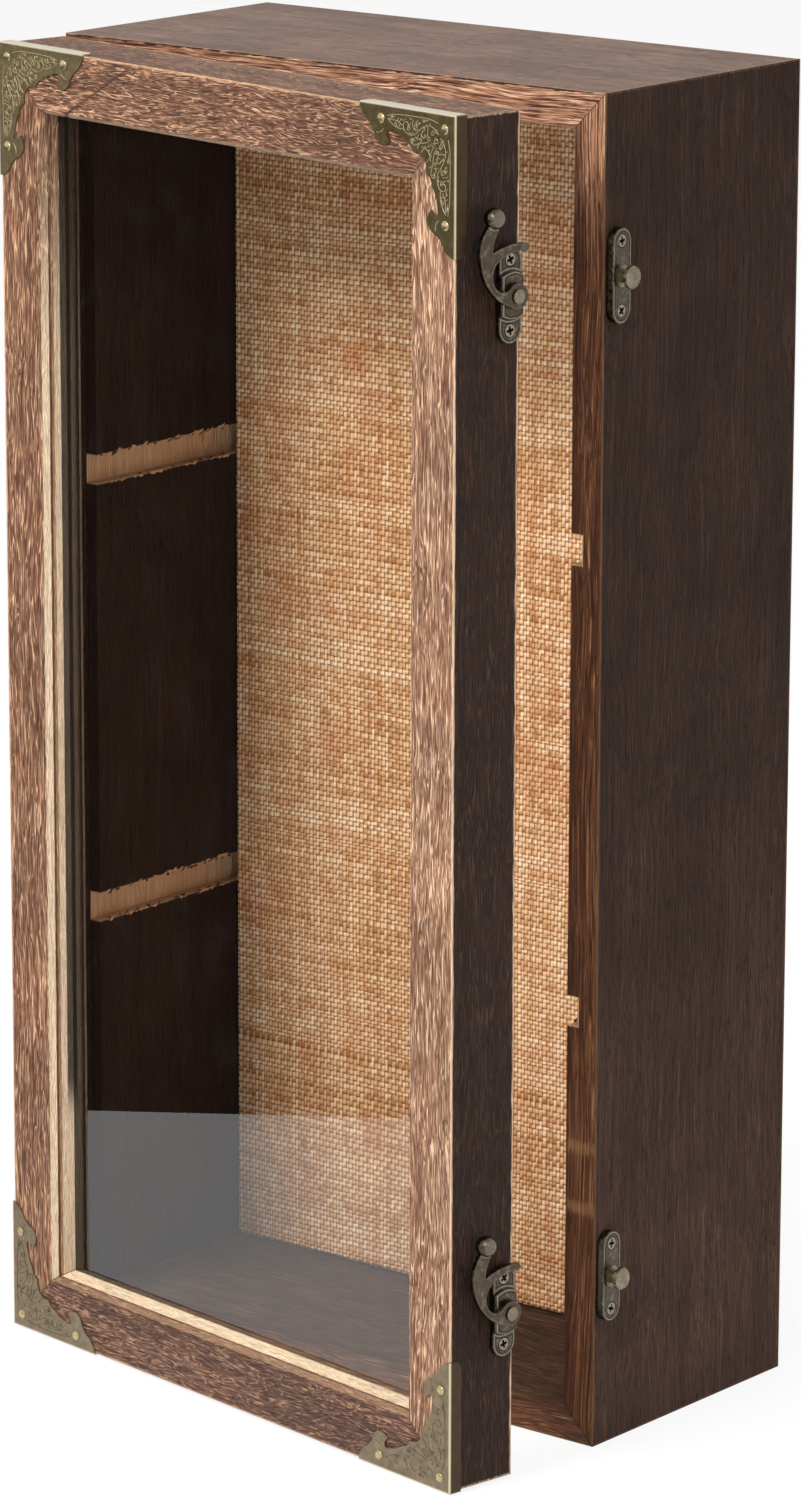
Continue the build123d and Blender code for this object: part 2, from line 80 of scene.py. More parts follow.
class Graph:
    """The nodes of a material or world. Most methods return the socket that carries their result."""

    add, sub, mul = operation("ADD"), operation("SUBTRACT"), operation("MULTIPLY")
    min, max, abs = operation("MINIMUM"), operation("MAXIMUM"), operation("ABSOLUTE")

    def __init__(self, name, kind="material"):
        self.block = {"material": bpy.data.materials, "world": bpy.data.worlds}[kind].new(name)
        self.block.use_nodes = True
        self.tree = self.block.node_tree
        self.tree.nodes.clear()
        self.out = self.tree.nodes.new(f"ShaderNodeOutput{kind.title()}")

    def put(self, socket, value):
        if isinstance(value, bpy.types.NodeSocket):
            self.tree.links.new(value, socket)
        elif value is not None:
            if isinstance(value, tuple) and len(value) == 3 and socket.type == "RGBA":
                value = (*value, 1)
            socket.default_value = value

    def node(self, kind, *values, **named):
        """A node with its first inputs filled in order. Capitalised keywords fill inputs, the others set fields."""
        made = self.tree.nodes.new(f"ShaderNode{kind}")
        inputs = dict(enumerate(values))
        for key, value in named.items():
            if key[0].isupper():
                inputs[key.replace("_", " ")] = value
            else:
                setattr(made, key, value)
        for key, value in inputs.items():
            self.put(made.inputs[key], value)
        return made

    def first(self, kind, *values, **named):
        return self.node(kind, *values, **named).outputs[0]

    def math(self, operation, a, b=None, clamp=False):
        return self.first("Math", a, b, operation=operation, use_clamp=clamp)

    def off(self, a, centre):
        """How far a is from centre, either way."""
        return self.abs(self.sub(a, centre))

    def sway(self, noise, amount):
        """A noise about zero."""
        return self.mul(self.sub(noise, 0.5), amount)

    def middle(self, a, b, c):
        """The middle one of three values."""
        return self.max(self.min(a, b), self.min(self.max(a, b), c))

    def smooth(self, value, low, high, to_low=0.0, to_high=1.0):
        return self.first("MapRange", value, low, high, to_low, to_high, interpolation_type="SMOOTHSTEP")

    def band(self, value, low, high, soft):
        """1 between low and high, with soft edges."""
        return self.mul(self.smooth(value, low - soft, low + soft), self.smooth(value, high + soft, high - soft))

    def noise(self, vector, scale, detail=3.0, rough=0.55, distortion=0.0, output="Fac"):
        return self.node("TexNoise", Vector=vector, Scale=scale, Detail=detail, Roughness=rough,
                         Distortion=distortion).outputs[output]

    def ramp(self, value, stops):
        made = self.node("ValToRGB", value)
        bar = made.color_ramp.elements
        while len(bar) < len(stops):
            bar.new(0.5)
        for one, (place, colour) in zip(bar, stops):
            one.position = place
            one.color = (*colour, 1)
        return made.outputs[0]

    def mix(self, factor, a, b):
        made = self.node("Mix", factor, data_type="RGBA")
        self.put(made.inputs[6], a)
        self.put(made.inputs[7], b)
        return made.outputs[2]

    def vector(self, operation, a, b):
        return self.first("VectorMath", a, b, operation=operation)

    def split(self, vector):
        return list(self.node("SeparateXYZ", vector).outputs)

    def join(self, x, y, z):
        return self.first("CombineXYZ", x, y, z)

    def shade(self, colour, factor):
        """A colour made lighter or darker by a factor."""
        return self.vector("MULTIPLY", colour, self.join(factor, factor, factor))

    def place(self, door=False):
        """The point on the piece in millimetres, in the closed door's frame for a door piece."""
        point = self.node("TexCoord").outputs["Object"]
        if door:
            point = self.first("VectorRotate", rotation_type="Z_AXIS", Vector=point, Center=(*HINGE, 0), Angle=AJAR)
        return self.vector("MULTIPLY", point, (1000.0, 1000.0, 1000.0))

    def seen(self):
        """1 for what the camera sees, straight or by reflection or through glass."""
        path = self.node("LightPath").outputs
        return self.max(path["Is Camera Ray"], self.max(path["Is Glossy Ray"], path["Is Transmission Ray"]))

    def bump(self, height, distance, strength):
        return self.first("Bump", Height=height, Distance=distance, Strength=strength)

    def blend(self, factor, a, b):
        return self.first("MixShader", factor, a, b)

    def surface(self, shader):
        self.tree.links.new(shader, self.out.inputs["Surface"])
        return self.block

    def principled(self, **inputs):
        return self.surface(self.first("BsdfPrincipled", **inputs))


def srgb(*seen):
    """A colour as it is seen, 0 to 255, to what a shader takes."""
    shares = [value / 255 for value in seen]
    return tuple(v / 12.92 if v <= 0.04045 else ((v + 0.055) / 1.055) ** 2.4 for v in shares)


def stops(*rows):
    """A ramp's stops from rows of place, red, green and blue."""
    return [(place, srgb(*colour)) for place, *colour in rows]


def dim(colour, share):
    return tuple(share * v for v in colour)


# ---------------- wood
# Growth lines: noise scales across and along, how they curl, how many, and the shares of pale and dark.
Lines = namedtuple("Lines", "across along curl count pale dark")


def growth_lines(g, run, lines):
    """Masks of the raised and the sunken side of each growth line."""
    ripple = g.noise(run(lines.across, lines.along, 31.0), 1.0, 2, 0.5, lines.curl)
    phase = g.math("FRACT", g.mul(ripple, float(lines.count)))
    patch = g.smooth(g.noise(run(0.5, 0.08, 47.0), 1.0, 2, 0.5), 0.38, 0.56)
    raised, sunk = [g.smooth(g.off(phase, middle), 0.2, 0.03) for middle in (0.55, 0.2)]
    return g.mul(raised, patch), sunk


def worn_edges(g, colour, point, streaks, edge, worn_tone, joint_tone):
    """Wear along the arrises of a box, and a dark line where its mitres meet."""
    centre, half = edge
    inside = [g.sub(h, g.off(a, c)) for a, c, h in zip(point, centre, half)]
    ragged = g.add(g.middle(*inside), g.sway(streaks, 1.8))
    colour = g.mix(g.mul(g.smooth(ragged, 0.75, 0.1), 0.75), colour, worn_tone)
    joint = g.off(inside[0], inside[2])
    return g.mix(g.mul(g.smooth(joint, 0.35, 0.08), 0.7), colour, joint_tone)


def wood(name, grain, tones, seed, door=False, stretch=0.07, shine=0.35, finer=1.0,
         lines=Lines(0.3, 0.012, 0.3, 8, 0.45, 0.5), zones=None, edge=None, edge_tone=None):
    """Brushed, stained timber. grain is the axis it runs along; tones are dark, middle, light and pale."""
    g = Graph(name)
    p = g.place(door)
    point = g.split(p)
    axes = list(point)
    along = axes.pop("xyz".index(grain))
    warp = g.noise(g.vector("ADD", p, (seed, seed, seed)), 0.012, 2, 0.5, output="Color")
    bends = g.split(g.vector("MULTIPLY", g.vector("SUBTRACT", warp, (0.5, 0.5, 0.5)), (9.0, 9.0, 0.0)))
    across = [g.add(axis, bend) for axis, bend in zip(axes, bends)]

    def run(across_scale, along_scale, shift=0.0):
        """The point drawn out along the grain, for a noise that runs with it."""
        scale = across_scale * finer
        return g.join(*(g.mul(axis, scale) for axis in across), g.add(g.mul(along, along_scale), seed + shift))

    streaks = g.noise(run(1.55, stretch, 7.0), 1.0, 3, 0.6, 0.15)
    fine = g.noise(run(4.6, 0.3, 3.0), 1.0, 3, 0.6, 0.2)
    pore = g.smooth(g.noise(run(2.6, 0.2, 19.0), 1.0, 2, 0.5, 0.3), 0.42, 0.34)
    rings = g.noise(run(0.13, 0.006), 1.0, 3, 0.6, 0.6)
    blotch = g.noise(g.vector("ADD", p, (seed, 0.0, 3.0)), 0.03, 3, 0.5)
    raised, sunk = growth_lines(g, run, lines)
    relief = g.sub(raised, sunk)

    dark, mid, light, pale = [srgb(*tone) for tone in tones]
    tone = g.add(g.add(g.mul(streaks, 0.62), g.mul(fine, 0.38)), g.sway(rings, 0.22))
    spread, fleck = (0.14, 1.2) if door else (0.175, 1.3)
    colour = g.ramp(tone, [(0.5 - spread, dark), (0.5 - spread * 0.25, mid), (0.5 + spread * 0.4, light),
                           (0.5 + spread * fleck, pale)])
    colour = g.mix(g.mul(pore, 0.7), colour, dim(dark, 0.5))
    colour = g.mix(g.mul(raised, lines.pale), colour, pale)
    colour = g.mix(g.mul(sunk, lines.dark), colour, dark)
    colour = g.shade(colour, g.smooth(blotch, 0.25, 0.75, 0.8, 1.14))
    if zones:
        fibres = g.add(g.add(g.mul(streaks, 0.7), g.mul(relief, 0.1)), 0.15)
        colour = zones(g, colour, point, fine, pore, fibres)
    if edge:
        colour = worn_edges(g, colour, point, streaks, edge, edge_tone or pale, dim(dark, 0.3))
    height = g.sub(g.add(g.mul(fine, 0.6), streaks), g.mul(pore, 0.8))
    height = g.add(height, g.mul(relief, 0.5))
    return g.principled(Base_Color=colour, Roughness=g.smooth(streaks, 0.3, 0.7, 0.54, 0.76),
                        Specular_IOR_Level=shine, Normal=g.bump(height, 0.36 * MM, 0.9))


CASE_EDGE = ((0, 0, 200), (101, 46.75, 200))  # a box's centre and half sizes, in millimetres
DOOR_EDGE = ((0, -59.1, 200), (101, 11.85, 199.1))
GOLDEN = stops((0.34, 62, 36, 24), (0.48, 92, 58, 39), (0.58, 116, 76, 51), (0.72, 168, 122, 86))
PINK = stops((0.38, 70, 40, 30), (0.46, 140, 94, 70), (0.56, 184, 138, 108), (0.66, 226, 186, 156))
RAW_GROOVE = stops((0.3, 192, 151, 113), (0.5, 210, 169, 130), (0.7, 222, 183, 145))
PALE_BAND_HEIGHTS = (91.0, 72.5)  # two pale bands across the right front edge


def front_edge(g, point, fine, pore, fibres):
    """The sanded front edge of the case: gold, pinker at its head, dark inwards, and on the left darkened with
    painted shade from the door.
    """
    x, y, z = point
    from_middle, rise = g.abs(x), g.sub(z, MID)
    head = g.smooth(g.sub(rise, from_middle), 98.9, 99.1)
    golden = g.mix(g.max(head, g.smooth(z, 345.0, 392.0, 0.0, 0.6)), g.ramp(fibres, GOLDEN), g.ramp(fibres, PINK))
    golden = g.mix(g.mul(pore, 0.45), golden, srgb(52, 30, 21))
    outward = g.add(g.max(from_middle, g.add(g.abs(rise), -99.0)), g.sway(fine, 3.0))
    inner = g.mul(g.smooth(outward, 95.0, 90.8, 0.0, 0.6), g.sub(1.0, head))
    golden = g.mix(inner, golden, srgb(50, 29, 22))
    # painted shade: the left front edge, behind the door, is darkened
    golden = g.mix(g.smooth(x, -80.0, -95.0, 0.0, 0.85), golden, srgb(46, 30, 24))
    for height in PALE_BAND_HEIGHTS:
        wave = g.add(g.sub(z, height), g.sway(fine, 7.0))
        band = g.mul(g.smooth(g.abs(wave), 2.6, 1.0), g.smooth(x, 90.0, 92.0))
        golden = g.mix(g.mul(band, 0.42), golden, srgb(162, 120, 82))
    return golden


def case_zones(g, colour, point, fine, pore, fibres):
    """The outsides pale towards the foot, the insides are darker, and the front edges are sanded."""
    x, y, z = point
    from_middle = g.abs(x)
    outside = g.smooth(from_middle, 100.6, 100.9)
    colour = g.shade(colour, g.add(1.0, g.mul(outside, g.smooth(z, 240.0, 20.0, 0.0, 0.6))))
    inside = g.mul(g.smooth(from_middle, 90.5, 90.2), g.smooth(g.off(z, MID), 189.6, 189.2))
    colour = g.mix(g.mul(inside, 0.35), colour, srgb(30, 20, 17))
    front = g.smooth(g.add(y, g.mul(fine, 0.25)), -46.45, -46.6)
    return g.mix(front, colour, front_edge(g, point, fine, pore, fibres))


def groove_zones(g, colour, point, fine, pore, fibres):
    """A side board: as the case, with raw wood in its shelf grooves."""
    colour = case_zones(g, colour, point, fine, pore, fibres)
    x, y, z = point
    from_groove = g.sub(g.off(z, MID), GROOVE_RISE / MM)
    ragged = g.add(g.abs(from_groove), g.sway(fine, 1.2))
    depth = g.abs(x)
    band = g.mul(g.smooth(ragged, 4.75, 4.4), g.smooth(depth, 90.05, 90.35))
    band = g.mul(band, g.smooth(depth, 94.6, 94.4))
    return g.mix(band, colour, g.ramp(fibres, RAW_GROOVE))


MOULDING_TINTS = {
    "raw": stops((0.3, 196, 164, 130), (0.5, 226, 202, 170), (0.7, 244, 228, 204)),
    "brown": stops((0.3, 84, 54, 38), (0.6, 130, 92, 66)),
    "tan": stops((0.3, 160, 122, 90), (0.6, 204, 168, 132)),
}
MOULDING_SHADOW = srgb(30, 20, 16)


def moulding_members(side):
    """The moulding's members on its way down to the glass, as depths from and to, a share and a tint."""
    if side == "bottom":
        return [(0.05, 1.9, 0.35, "tan"), (1.9, 2.75, 0.6, "brown"), (2.75, 7.5, 0.95, "raw"),
                (7.1, 7.5, 0.6, "shadow")]
    raw, quirk = {"left": (0.85, 0.9), "top": (0.25, 0.5), "right": (0.4, 0.6)}[side]
    return [(0.05, 1.9, raw, "raw"), (1.9, 2.75, quirk, "brown"), (2.75, 3.5, 0.6 * raw, "tan"),
            (3.5, 7.5, raw, "raw"), (5.5, 7.5, 0.9, "shadow")]


def diagonal_line(g, colour, point, fine):
    """One dark growth line that crosses the top rail at its left end."""
    x, _, z = point
    start_x, start_z, slope = -44.0, 396.0, 0.56
    rise = g.sub(g.sub(z, start_z), g.mul(g.sub(x, start_x), slope))
    rise = g.add(rise, g.sway(fine, 1.2))
    line = g.mul(g.smooth(g.abs(rise), 0.7, 0.2), g.smooth(x, start_x + 4.0, start_x))
    return g.mix(g.mul(line, 0.7), colour, srgb(58, 34, 25))


def door_zones(side):
    """The members of one side's moulding, and painted shade on the frame's outer sides."""
    upright = side in ("left", "right")

    def zones(g, colour, point, fine, pore, fibres):
        x, y, z = point
        wobble = g.sway(fibres, 0.5)
        inward = g.sub(101.0, g.abs(x)) if upright else g.sub(199.1, g.off(z, MID))
        inward = g.add(inward, wobble)
        depth = g.add(g.sub(y, FACE), g.mul(wobble, 0.8))
        sight = g.smooth(inward, 17.5, 17.85)
        tints = {tint: g.ramp(fine, stops) for tint, stops in MOULDING_TINTS.items()}
        tints["shadow"] = MOULDING_SHADOW
        for low, high, share, tint in moulding_members(side):
            mask = g.mul(g.band(depth, low, high, 0.12), sight)
            if side == "left":  # the pale members fade towards the head, and the shadow ends above the foot
                shadowed, fading = (z, 66.0, 84.0), (z, 380.0, 290.0, 0.08, 1.0)
                mask = g.mul(mask, g.smooth(*(shadowed if tint == "shadow" else fading)))
            colour = g.mix(g.mul(mask, share), colour, tints[tint])
        if side == "top":
            colour = diagonal_line(g, colour, point, fine)
        # a deep brown, for the painted shade on the stiles' outer sides and for the hidden faces behind the glass
        dark = g.vector("MULTIPLY", colour, (0.095, 0.07, 0.058))
        colour = g.shade(colour, g.smooth(z, 398.5, 398.9, 1.0, 0.6))
        if upright:
            # painted shade on the stiles' outer sides, where less light falls
            shaded_flank = g.mul(g.smooth(y, FACE + 0.25, FACE + 0.6), g.smooth(inward, 1.2, 0.5))
            colour = g.mix(shaded_flank, colour, dark)
        hidden = g.mul(g.smooth(y, -63.0, -62.5), g.smooth(inward, 8.4, 8.8))
        return g.mix(hidden, colour, dark)
    return zones


def fibreboard(name, base, dark, light):
    """Pressed board: short matted fibres with no direction."""
    g = Graph(name)
    p = g.place()
    strands = g.noise(g.vector("MULTIPLY", p, (0.9, 3.0, 0.25)), 1.0, 5, 0.65, 1.2)
    mat = g.noise(p, 1.7, 5, 0.6, 0.8)
    tone = g.add(g.mul(strands, 0.5), g.mul(mat, 0.5))
    colour = g.ramp(tone, stops((0.35, *dark), (0.5, *base), (0.66, *light)))
    return g.principled(Base_Color=colour, Roughness=g.smooth(mat, 0.3, 0.7, 0.7, 0.92),
                        Normal=g.bump(tone, 0.3 * MM, 0.8))


# ---------------- metal and glass
def folded_edges(g, colour, p):
    """A corner protector's rubbed folds, and painted shade on its flange along the door's side."""
    x, y, z = g.split(p)
    inside = [g.sub(half, g.off(a, centre)) for a, half, centre in
              ((x, 101.6, 0.0), (y, 12.15, -59.4), (z, 199.7, MID))]
    colour = g.mix(g.smooth(g.middle(*inside), 0.75, 0.25, 0.0, 0.8), colour, srgb(226, 214, 178))
    colour = g.mix(g.smooth(inside[2], 0.5, 0.2, 0.0, 0.75), colour, srgb(216, 208, 188))
    # painted shade on the flange along the door's side
    shaded_flank = g.mul(g.smooth(inside[0], 0.35, 0.15), g.smooth(y, -71.3, -70.8, 0.0, 0.88))
    return g.mix(shaded_flank, colour, srgb(62, 48, 34))


def cast(name, deep, body, rubbed, rough=0.42, grain=2.6, pits=0.5, metallic=0.9, folded=False, bumpy=0.1,
         even=1.0):
    """Antiqued metal with a pitted and rubbed skin. The mesh's rub attribute runs from -1, hollow, to 1, rubbed."""
    g = Graph(name)
    p = g.place(folded)
    deep, body, rubbed = [srgb(*tone) for tone in (deep, body, rubbed)]
    skin = g.noise(p, grain, 4, 0.62)
    tone = g.add(g.mul(g.noise(p, 0.35, 3, 0.55, 0.2), 0.4), g.mul(skin, 0.6))
    colour = g.ramp(tone, [(0.52 - 0.22 * even, deep), (0.52, body), (min(1.0, 0.52 + 0.26 * even), rubbed)])
    pit = g.smooth(g.node("TexVoronoi", Vector=p, Scale=1.3).outputs["Distance"], 0.14, 0.05)
    colour = g.mix(g.mul(pit, pits), colour, deep)
    rub = g.node("Attribute", attribute_name="rub").outputs["Fac"]
    # the near-black tint at -1 is dark in screw recesses, and painted shade at the rims of screw and nail heads
    for low, high, share, tint in ((0.1, 0.9, 0.75, rubbed), (-0.05, -0.3, 0.6, deep),
                                   (-0.55, -0.9, 0.95, srgb(14, 12, 10))):
        colour = g.mix(g.smooth(rub, low, high, 0.0, share), colour, tint)
    if folded:
        colour = folded_edges(g, colour, p)
    height = g.sub(g.mul(skin, 0.7), g.mul(pit, 0.6))
    return g.principled(Base_Color=colour, Metallic=metallic, Normal=g.bump(height, bumpy * MM, 0.7),
                        Roughness=g.smooth(skin, 0.3, 0.7, rough - 0.08, rough + 0.16))


def clear_glass():
    """Clear float glass: sees straight through, with a sheen from Fresnel and a trace of dust."""
    g = Graph("clear_float_glass")
    p = g.place(True)
    grain = g.noise(p, 3.0, 2, 0.5)
    film = g.mul(g.smooth(g.noise(p, 0.09, 4, 0.6), 0.5, 0.8), g.smooth(grain, 0.4, 0.7, 0.001, 0.006))
    see = g.first("BsdfTransparent", (0.985, 0.99, 0.985))
    shine = g.first("BsdfGlossy", (1, 1, 1), Roughness=0.0)
    haze = g.first("BsdfDiffuse", (0.8, 0.8, 0.8))
    from_behind = g.node("NewGeometry").outputs["Backfacing"]
    # the pane's near face reflects for both, and neither stops a shadow ray
    both_faces = g.math("MULTIPLY", g.mul(g.first("Fresnel", IOR=1.5), 1.7), g.sub(1.0, from_behind), clamp=True)
    shadow = g.node("LightPath").outputs["Is Shadow Ray"]
    both_faces = g.mul(both_faces, g.sub(1.0, shadow))
    return g.surface(g.blend(film, g.blend(both_faces, see, shine), haze))


# ---------------- finishes of the CAD nodes
def dress(material, *names):
    for name in names:
        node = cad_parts[name]
        if not node.material_slots:
            node.data.materials.append(material)
        for slot in node.material_slots:
            slot.material = material


CASE_TONES = (38, 26, 21), (51, 36, 30), (63, 46, 38), (88, 67, 54)
# the top board's tones are paler and greyer than the sides': painted sheen from the overhead light
TOP_TONES_WITH_PAINTED_SHEEN = (70, 51, 42), (94, 74, 63), (113, 91, 79), (144, 120, 104)
BOTTOM_TONES = (40, 28, 23), (66, 48, 38), (92, 68, 52), (120, 92, 70)
LEFT_TONES = (74, 43, 30), (112, 74, 55), (144, 103, 79), (226, 184, 148)
RIGHT_TONES = (91, 58, 43), (131, 92, 71), (165, 124, 97), (244, 208, 174)
TOP_RAIL_TONES = (69, 42, 31), (101, 67, 51), (131, 91, 69), (218, 174, 136)
LOW_RAIL_TONES = (54, 33, 26), (84, 56, 44), (112, 79, 63), (188, 148, 120)
BEAD_TONES = (20, 13, 11), (29, 20, 17), (38, 27, 22), (54, 40, 32)

board = dict(edge=CASE_EDGE, edge_tone=srgb(120, 88, 66))
side_board = dict(board, shine=0.07, stretch=0.014, lines=Lines(0.6, 0.004, 0.1, 7, 0.2, 0.26),
                  zones=groove_zones)
dress(wood("stained_side_board", "z", CASE_TONES, 11.0, **side_board), "right_side_panel")
dress(wood("stained_left_board", "z", CASE_TONES, 57.0, **side_board), "left_side_panel")
dress(wood("stained_top_board_with_painted_sheen", "x", TOP_TONES_WITH_PAINTED_SHEEN, 29.0, lines=Lines(0.45, 0.012, 0.2, 9, 0.12, 0.15),
           zones=case_zones, edge=CASE_EDGE, edge_tone=srgb(170, 130, 98)), "top_panel")
dress(wood("stained_bottom_board", "x", BOTTOM_TONES, 83.0, shine=0.2, zones=case_zones, **board), "bottom_panel")

stile = dict(stretch=0.12, finer=1.45, lines=Lines(0.34, 0.034, 0.35, 8, 0.65, 0.6), shine=0.22)
top_rail = dict(stretch=0.22, finer=1.4, lines=Lines(0.3, 0.06, 0.25, 8, 0.6, 0.55))
bottom_rail = dict(stretch=0.17, finer=1.3, lines=Lines(0.3, 0.075, 0.4, 7, 0.45, 0.55))
for side, kind, grain, tones, seed, look in (
        ("left", "stile", "z", LEFT_TONES, 5.0, stile),
        ("right", "stile", "z", RIGHT_TONES, 41.0, stile),
        ("top", "rail", "x", TOP_RAIL_TONES, 67.0, top_rail),
        ("bottom", "rail", "x", LOW_RAIL_TONES, 93.0, bottom_rail)):
    timber = wood(f"moulded_{side}_{kind}", grain, tones, seed, door=True, zones=door_zones(side),
                  edge=DOOR_EDGE, **look)
    dress(timber, f"{side}_{kind}")
dress(wood("glazing_bead_upright", "z", BEAD_TONES, 71.0, door=True), "left_glazing_bead", "right_glazing_bead")
dress(wood("glazing_bead_level", "x", BEAD_TONES, 73.0, door=True), "top_glazing_bead", "bottom_glazing_bead")

dress(fibreboard("back_fibreboard", (120, 84, 58), (88, 58, 40), (152, 112, 80)), "back_board")
dress(fibreboard("pin_board_core", (196, 176, 142), (168, 146, 112), (220, 204, 172)), "pin_board")
torn_dark = fibreboard("torn_dark_fibre", (50, 32, 24), (34, 22, 17), (74, 50, 38))
torn_pale = fibreboard("torn_pale_fibre", (196, 154, 116), (170, 128, 92), (214, 176, 138))
dress(clear_glass(), "glass_pane")

bronze = cast("cast_antique_bronze", (42, 37, 32), (84, 76, 66), (178, 168, 148), rough=0.27, grain=1.0, pits=0.1,
              metallic=1.0, bumpy=0.05, even=2.2)
bronze_bright = cast("rubbed_bronze", (84, 76, 60), (132, 122, 102), (190, 180, 156), rough=0.3, metallic=1.0)
hook_bronze = cast("worn_bronze_hook", (58, 50, 42), (88, 78, 66), (186, 174, 152), rough=0.2, grain=0.5, pits=0.0,
                   metallic=1.0, bumpy=0.01, even=2.2)
hinge_bronze = cast("hinge_bronze", (84, 70, 44), (140, 120, 80), (186, 166, 120), rough=0.4)
plate_dark = cast("engraved_bronze_dark", (70, 60, 40), (116, 102, 70), (160, 146, 108), rough=0.4, folded=True)
plate_mid = cast("engraved_bronze_middle", (92, 80, 56), (146, 130, 96), (186, 172, 134), rough=0.4, folded=True)
plate_light = cast("engraved_bronze_light", (92, 81, 65), (138, 123, 101), (180, 163, 138), folded=True)
scroll_light = cast("rubbed_scroll", (150, 136, 98), (196, 182, 140), (228, 216, 178), rough=0.36)
brass = cast("nail_brass", (112, 96, 62), (190, 172, 124), (236, 224, 186), rough=0.24, pits=0.25)
steel = cast("bright_steel", (96, 94, 92), (150, 148, 146), (198, 196, 192), rough=0.34)
screw_bronze = cast("antique_screw", (30, 26, 23), (96, 88, 77), (190, 180, 162), rough=0.28, metallic=1.0)

for level in LEVELS:
    dress(bronze, *(f"{level}_{part}" for part in ("catch_plate", "latch_plate", "hook")))
    dress(bronze_bright, f"{level}_catch_stud", f"{level}_latch_rivet")
    dress(hinge_bronze, *(f"{level}_hinge_{part}" for part in ("case_leaf", "door_leaf", "pin")))
dress(screw_bronze, "catch_plate_screws", "latch_plate_screws", "hinge_case_screws", "hinge_door_screws")
dress(steel, "back_board_nails")
dress(brass, "corner_nails")
dress(plate_mid, "top_left_protector")
dress(plate_dark, "top_right_protector")
dress(plate_light, "bottom_left_protector", "bottom_right_protector")


# ---------------- mesh helpers
def link(name, data):
    made = bpy.data.objects.new(name, data)
    scene.collection.objects.link(made)
    return made


def fill(made, **fields):
    for key, value in fields.items():
        setattr(made, key, value)


def mesh_object(name, points, faces, material, smooth=True):
    mesh = bpy.data.meshes.new(name)
    mesh.from_pydata(points, [], faces)
    mesh.update()
    mesh.materials.append(material)
    if smooth:
        mesh.polygons.foreach_set("use_smooth", [True] * len(mesh.polygons))
    return link(name, mesh)


def add_rub(mesh, values):
    """How rubbed each point is, for the cast metals."""
    mesh.attributes.new("rub", "FLOAT", "POINT").data.foreach_set("value", values)


def join_shapes(shapes):
    """Shapes given as points and faces, as the points and faces of one."""
    points, faces = [], []
    for verts, polys in shapes:
        start = len(points)
        points += verts
        faces += [tuple(start + i for i in poly) for poly in polys]
    return points, faces


def finish(made, body, slot, *nodes):
    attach(made, body)
    if nodes:
        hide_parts(*nodes)
    return made


# ---------------- burlap
def burlap_material():
    g = Graph("woven_burlap")
    p = g.place()
    tone, stand, _ = g.split(g.node("Attribute", attribute_name="thread").outputs["Vector"])
    fuzz = g.noise(p, 3.4, 3, 0.65, 0.5)
    red = g.noise(g.vector("ADD", p, (50.0, 0.0, 9.0)), 0.05, 3, 0.6)
    value = g.add(g.add(tone, g.sway(fuzz, 0.4)), g.sway(g.noise(p, 0.022, 3, 0.55), 0.3))
    colour = g.ramp(value, stops((0.15, 168, 114, 72), (0.4, 208, 159, 112), (0.6, 231, 190, 147),
                            (0.85, 244, 216, 182)))
    colour = g.mix(g.smooth(red, 0.45, 0.75, 0.0, 0.4), colour, srgb(190, 108, 62))
    # painted shade in the hollows between the threads, where they stand lowest
    colour = g.mix(g.smooth(stand, 0.85, 0.05, 0.0, 0.84), colour, srgb(118, 66, 42))
    height = g.add(g.mul(fuzz, 0.5), stand)
    return g.principled(Base_Color=colour, Roughness=g.smooth(fuzz, 0.3, 0.7, 0.82, 0.96),
                        Specular_IOR_Level=0.2, Normal=g.bump(height, 0.15 * MM, 0.7))


CLOTH_WIDE, CLOTH_TALL = 0.09, 0.189  # half sizes of its front
CLOTH_FRONT, CLOTH_BACK = 0.01735, 0.0299
CLOTH_TURN, CLOTH_BEND = 0.012, 0.0012  # how much goes round each edge of the board, and the bend's radius
WARP_PITCH, WEFT_PITCH = 0.0013, 0.0016
PROUD = 0.00036  # how far a thread stands up at most


def thread_places(rng, count, half):
    """Places of the thread points, each thread a little thicker or thinner than the next."""
    steps = np.repeat(rng.normal(1.0, 0.16, count // 3).clip(0.55, 1.5), 3)
    run = np.concatenate([[0.0], np.cumsum(steps)])
    return (run / run[-1] * 2 - 1) * (half + CLOTH_TURN)


def weave(rng, n, m):
    """Height, tone and slubs of a plain weave, three points to a thread."""
    iu, iv = np.arange(n), np.arange(m)
    warp, weft = (iu // 3)[:, None], (iv // 3)[None, :]
    in_gap_u, in_gap_v = (iu % 3 == 0)[:, None], (iv % 3 == 0)[None, :]
    over = (warp + weft) % 2 == 0
    across = np.where(over, in_gap_u, in_gap_v)
    dives = np.where(over, in_gap_v, in_gap_u)
    height = np.where(across, 0.0, np.where(dives, 0.45, 1.0))
    warp_tone = rng.normal(0, 0.12, n // 3 + 2)[warp] + 0 * iv
    weft_tone = rng.normal(0, 0.12, m // 3 + 2)[weft] + 0 * iu[:, None]
    # slubs: a thicker, paler stretch runs on for a few crossings along its own thread
    knot = rng.normal(0, 1, (n // 3 + 2, m // 3 + 2))
    along_v, along_u = [(knot + np.roll(knot, 1, axis) + np.roll(knot, 2, axis)) / 1.7 for axis in (1, 0)]
    slub = np.where(over, along_v[warp, weft], along_u[warp, weft])
    tone = 0.54 + np.where(over, warp_tone, weft_tone) + 0.1 * slub + rng.normal(0, 0.06, (n, m))
    return height, tone, slub


def fold(along, half):
    """Distance along the cloth to the place across, the place back and the angle turned."""
    straight = half - CLOTH_BEND
    far = np.abs(along) - straight
    angle = np.clip(far / CLOTH_BEND, 0, pi / 2)
    place = np.where(far <= 0, np.abs(along), straight + CLOTH_BEND * np.sin(angle))
    behind = (np.where(far <= 0, 0, CLOTH_BEND * (1 - np.cos(angle)))
              + np.maximum(far - CLOTH_BEND * pi / 2, 0))
    return np.sign(along) * place, behind, angle


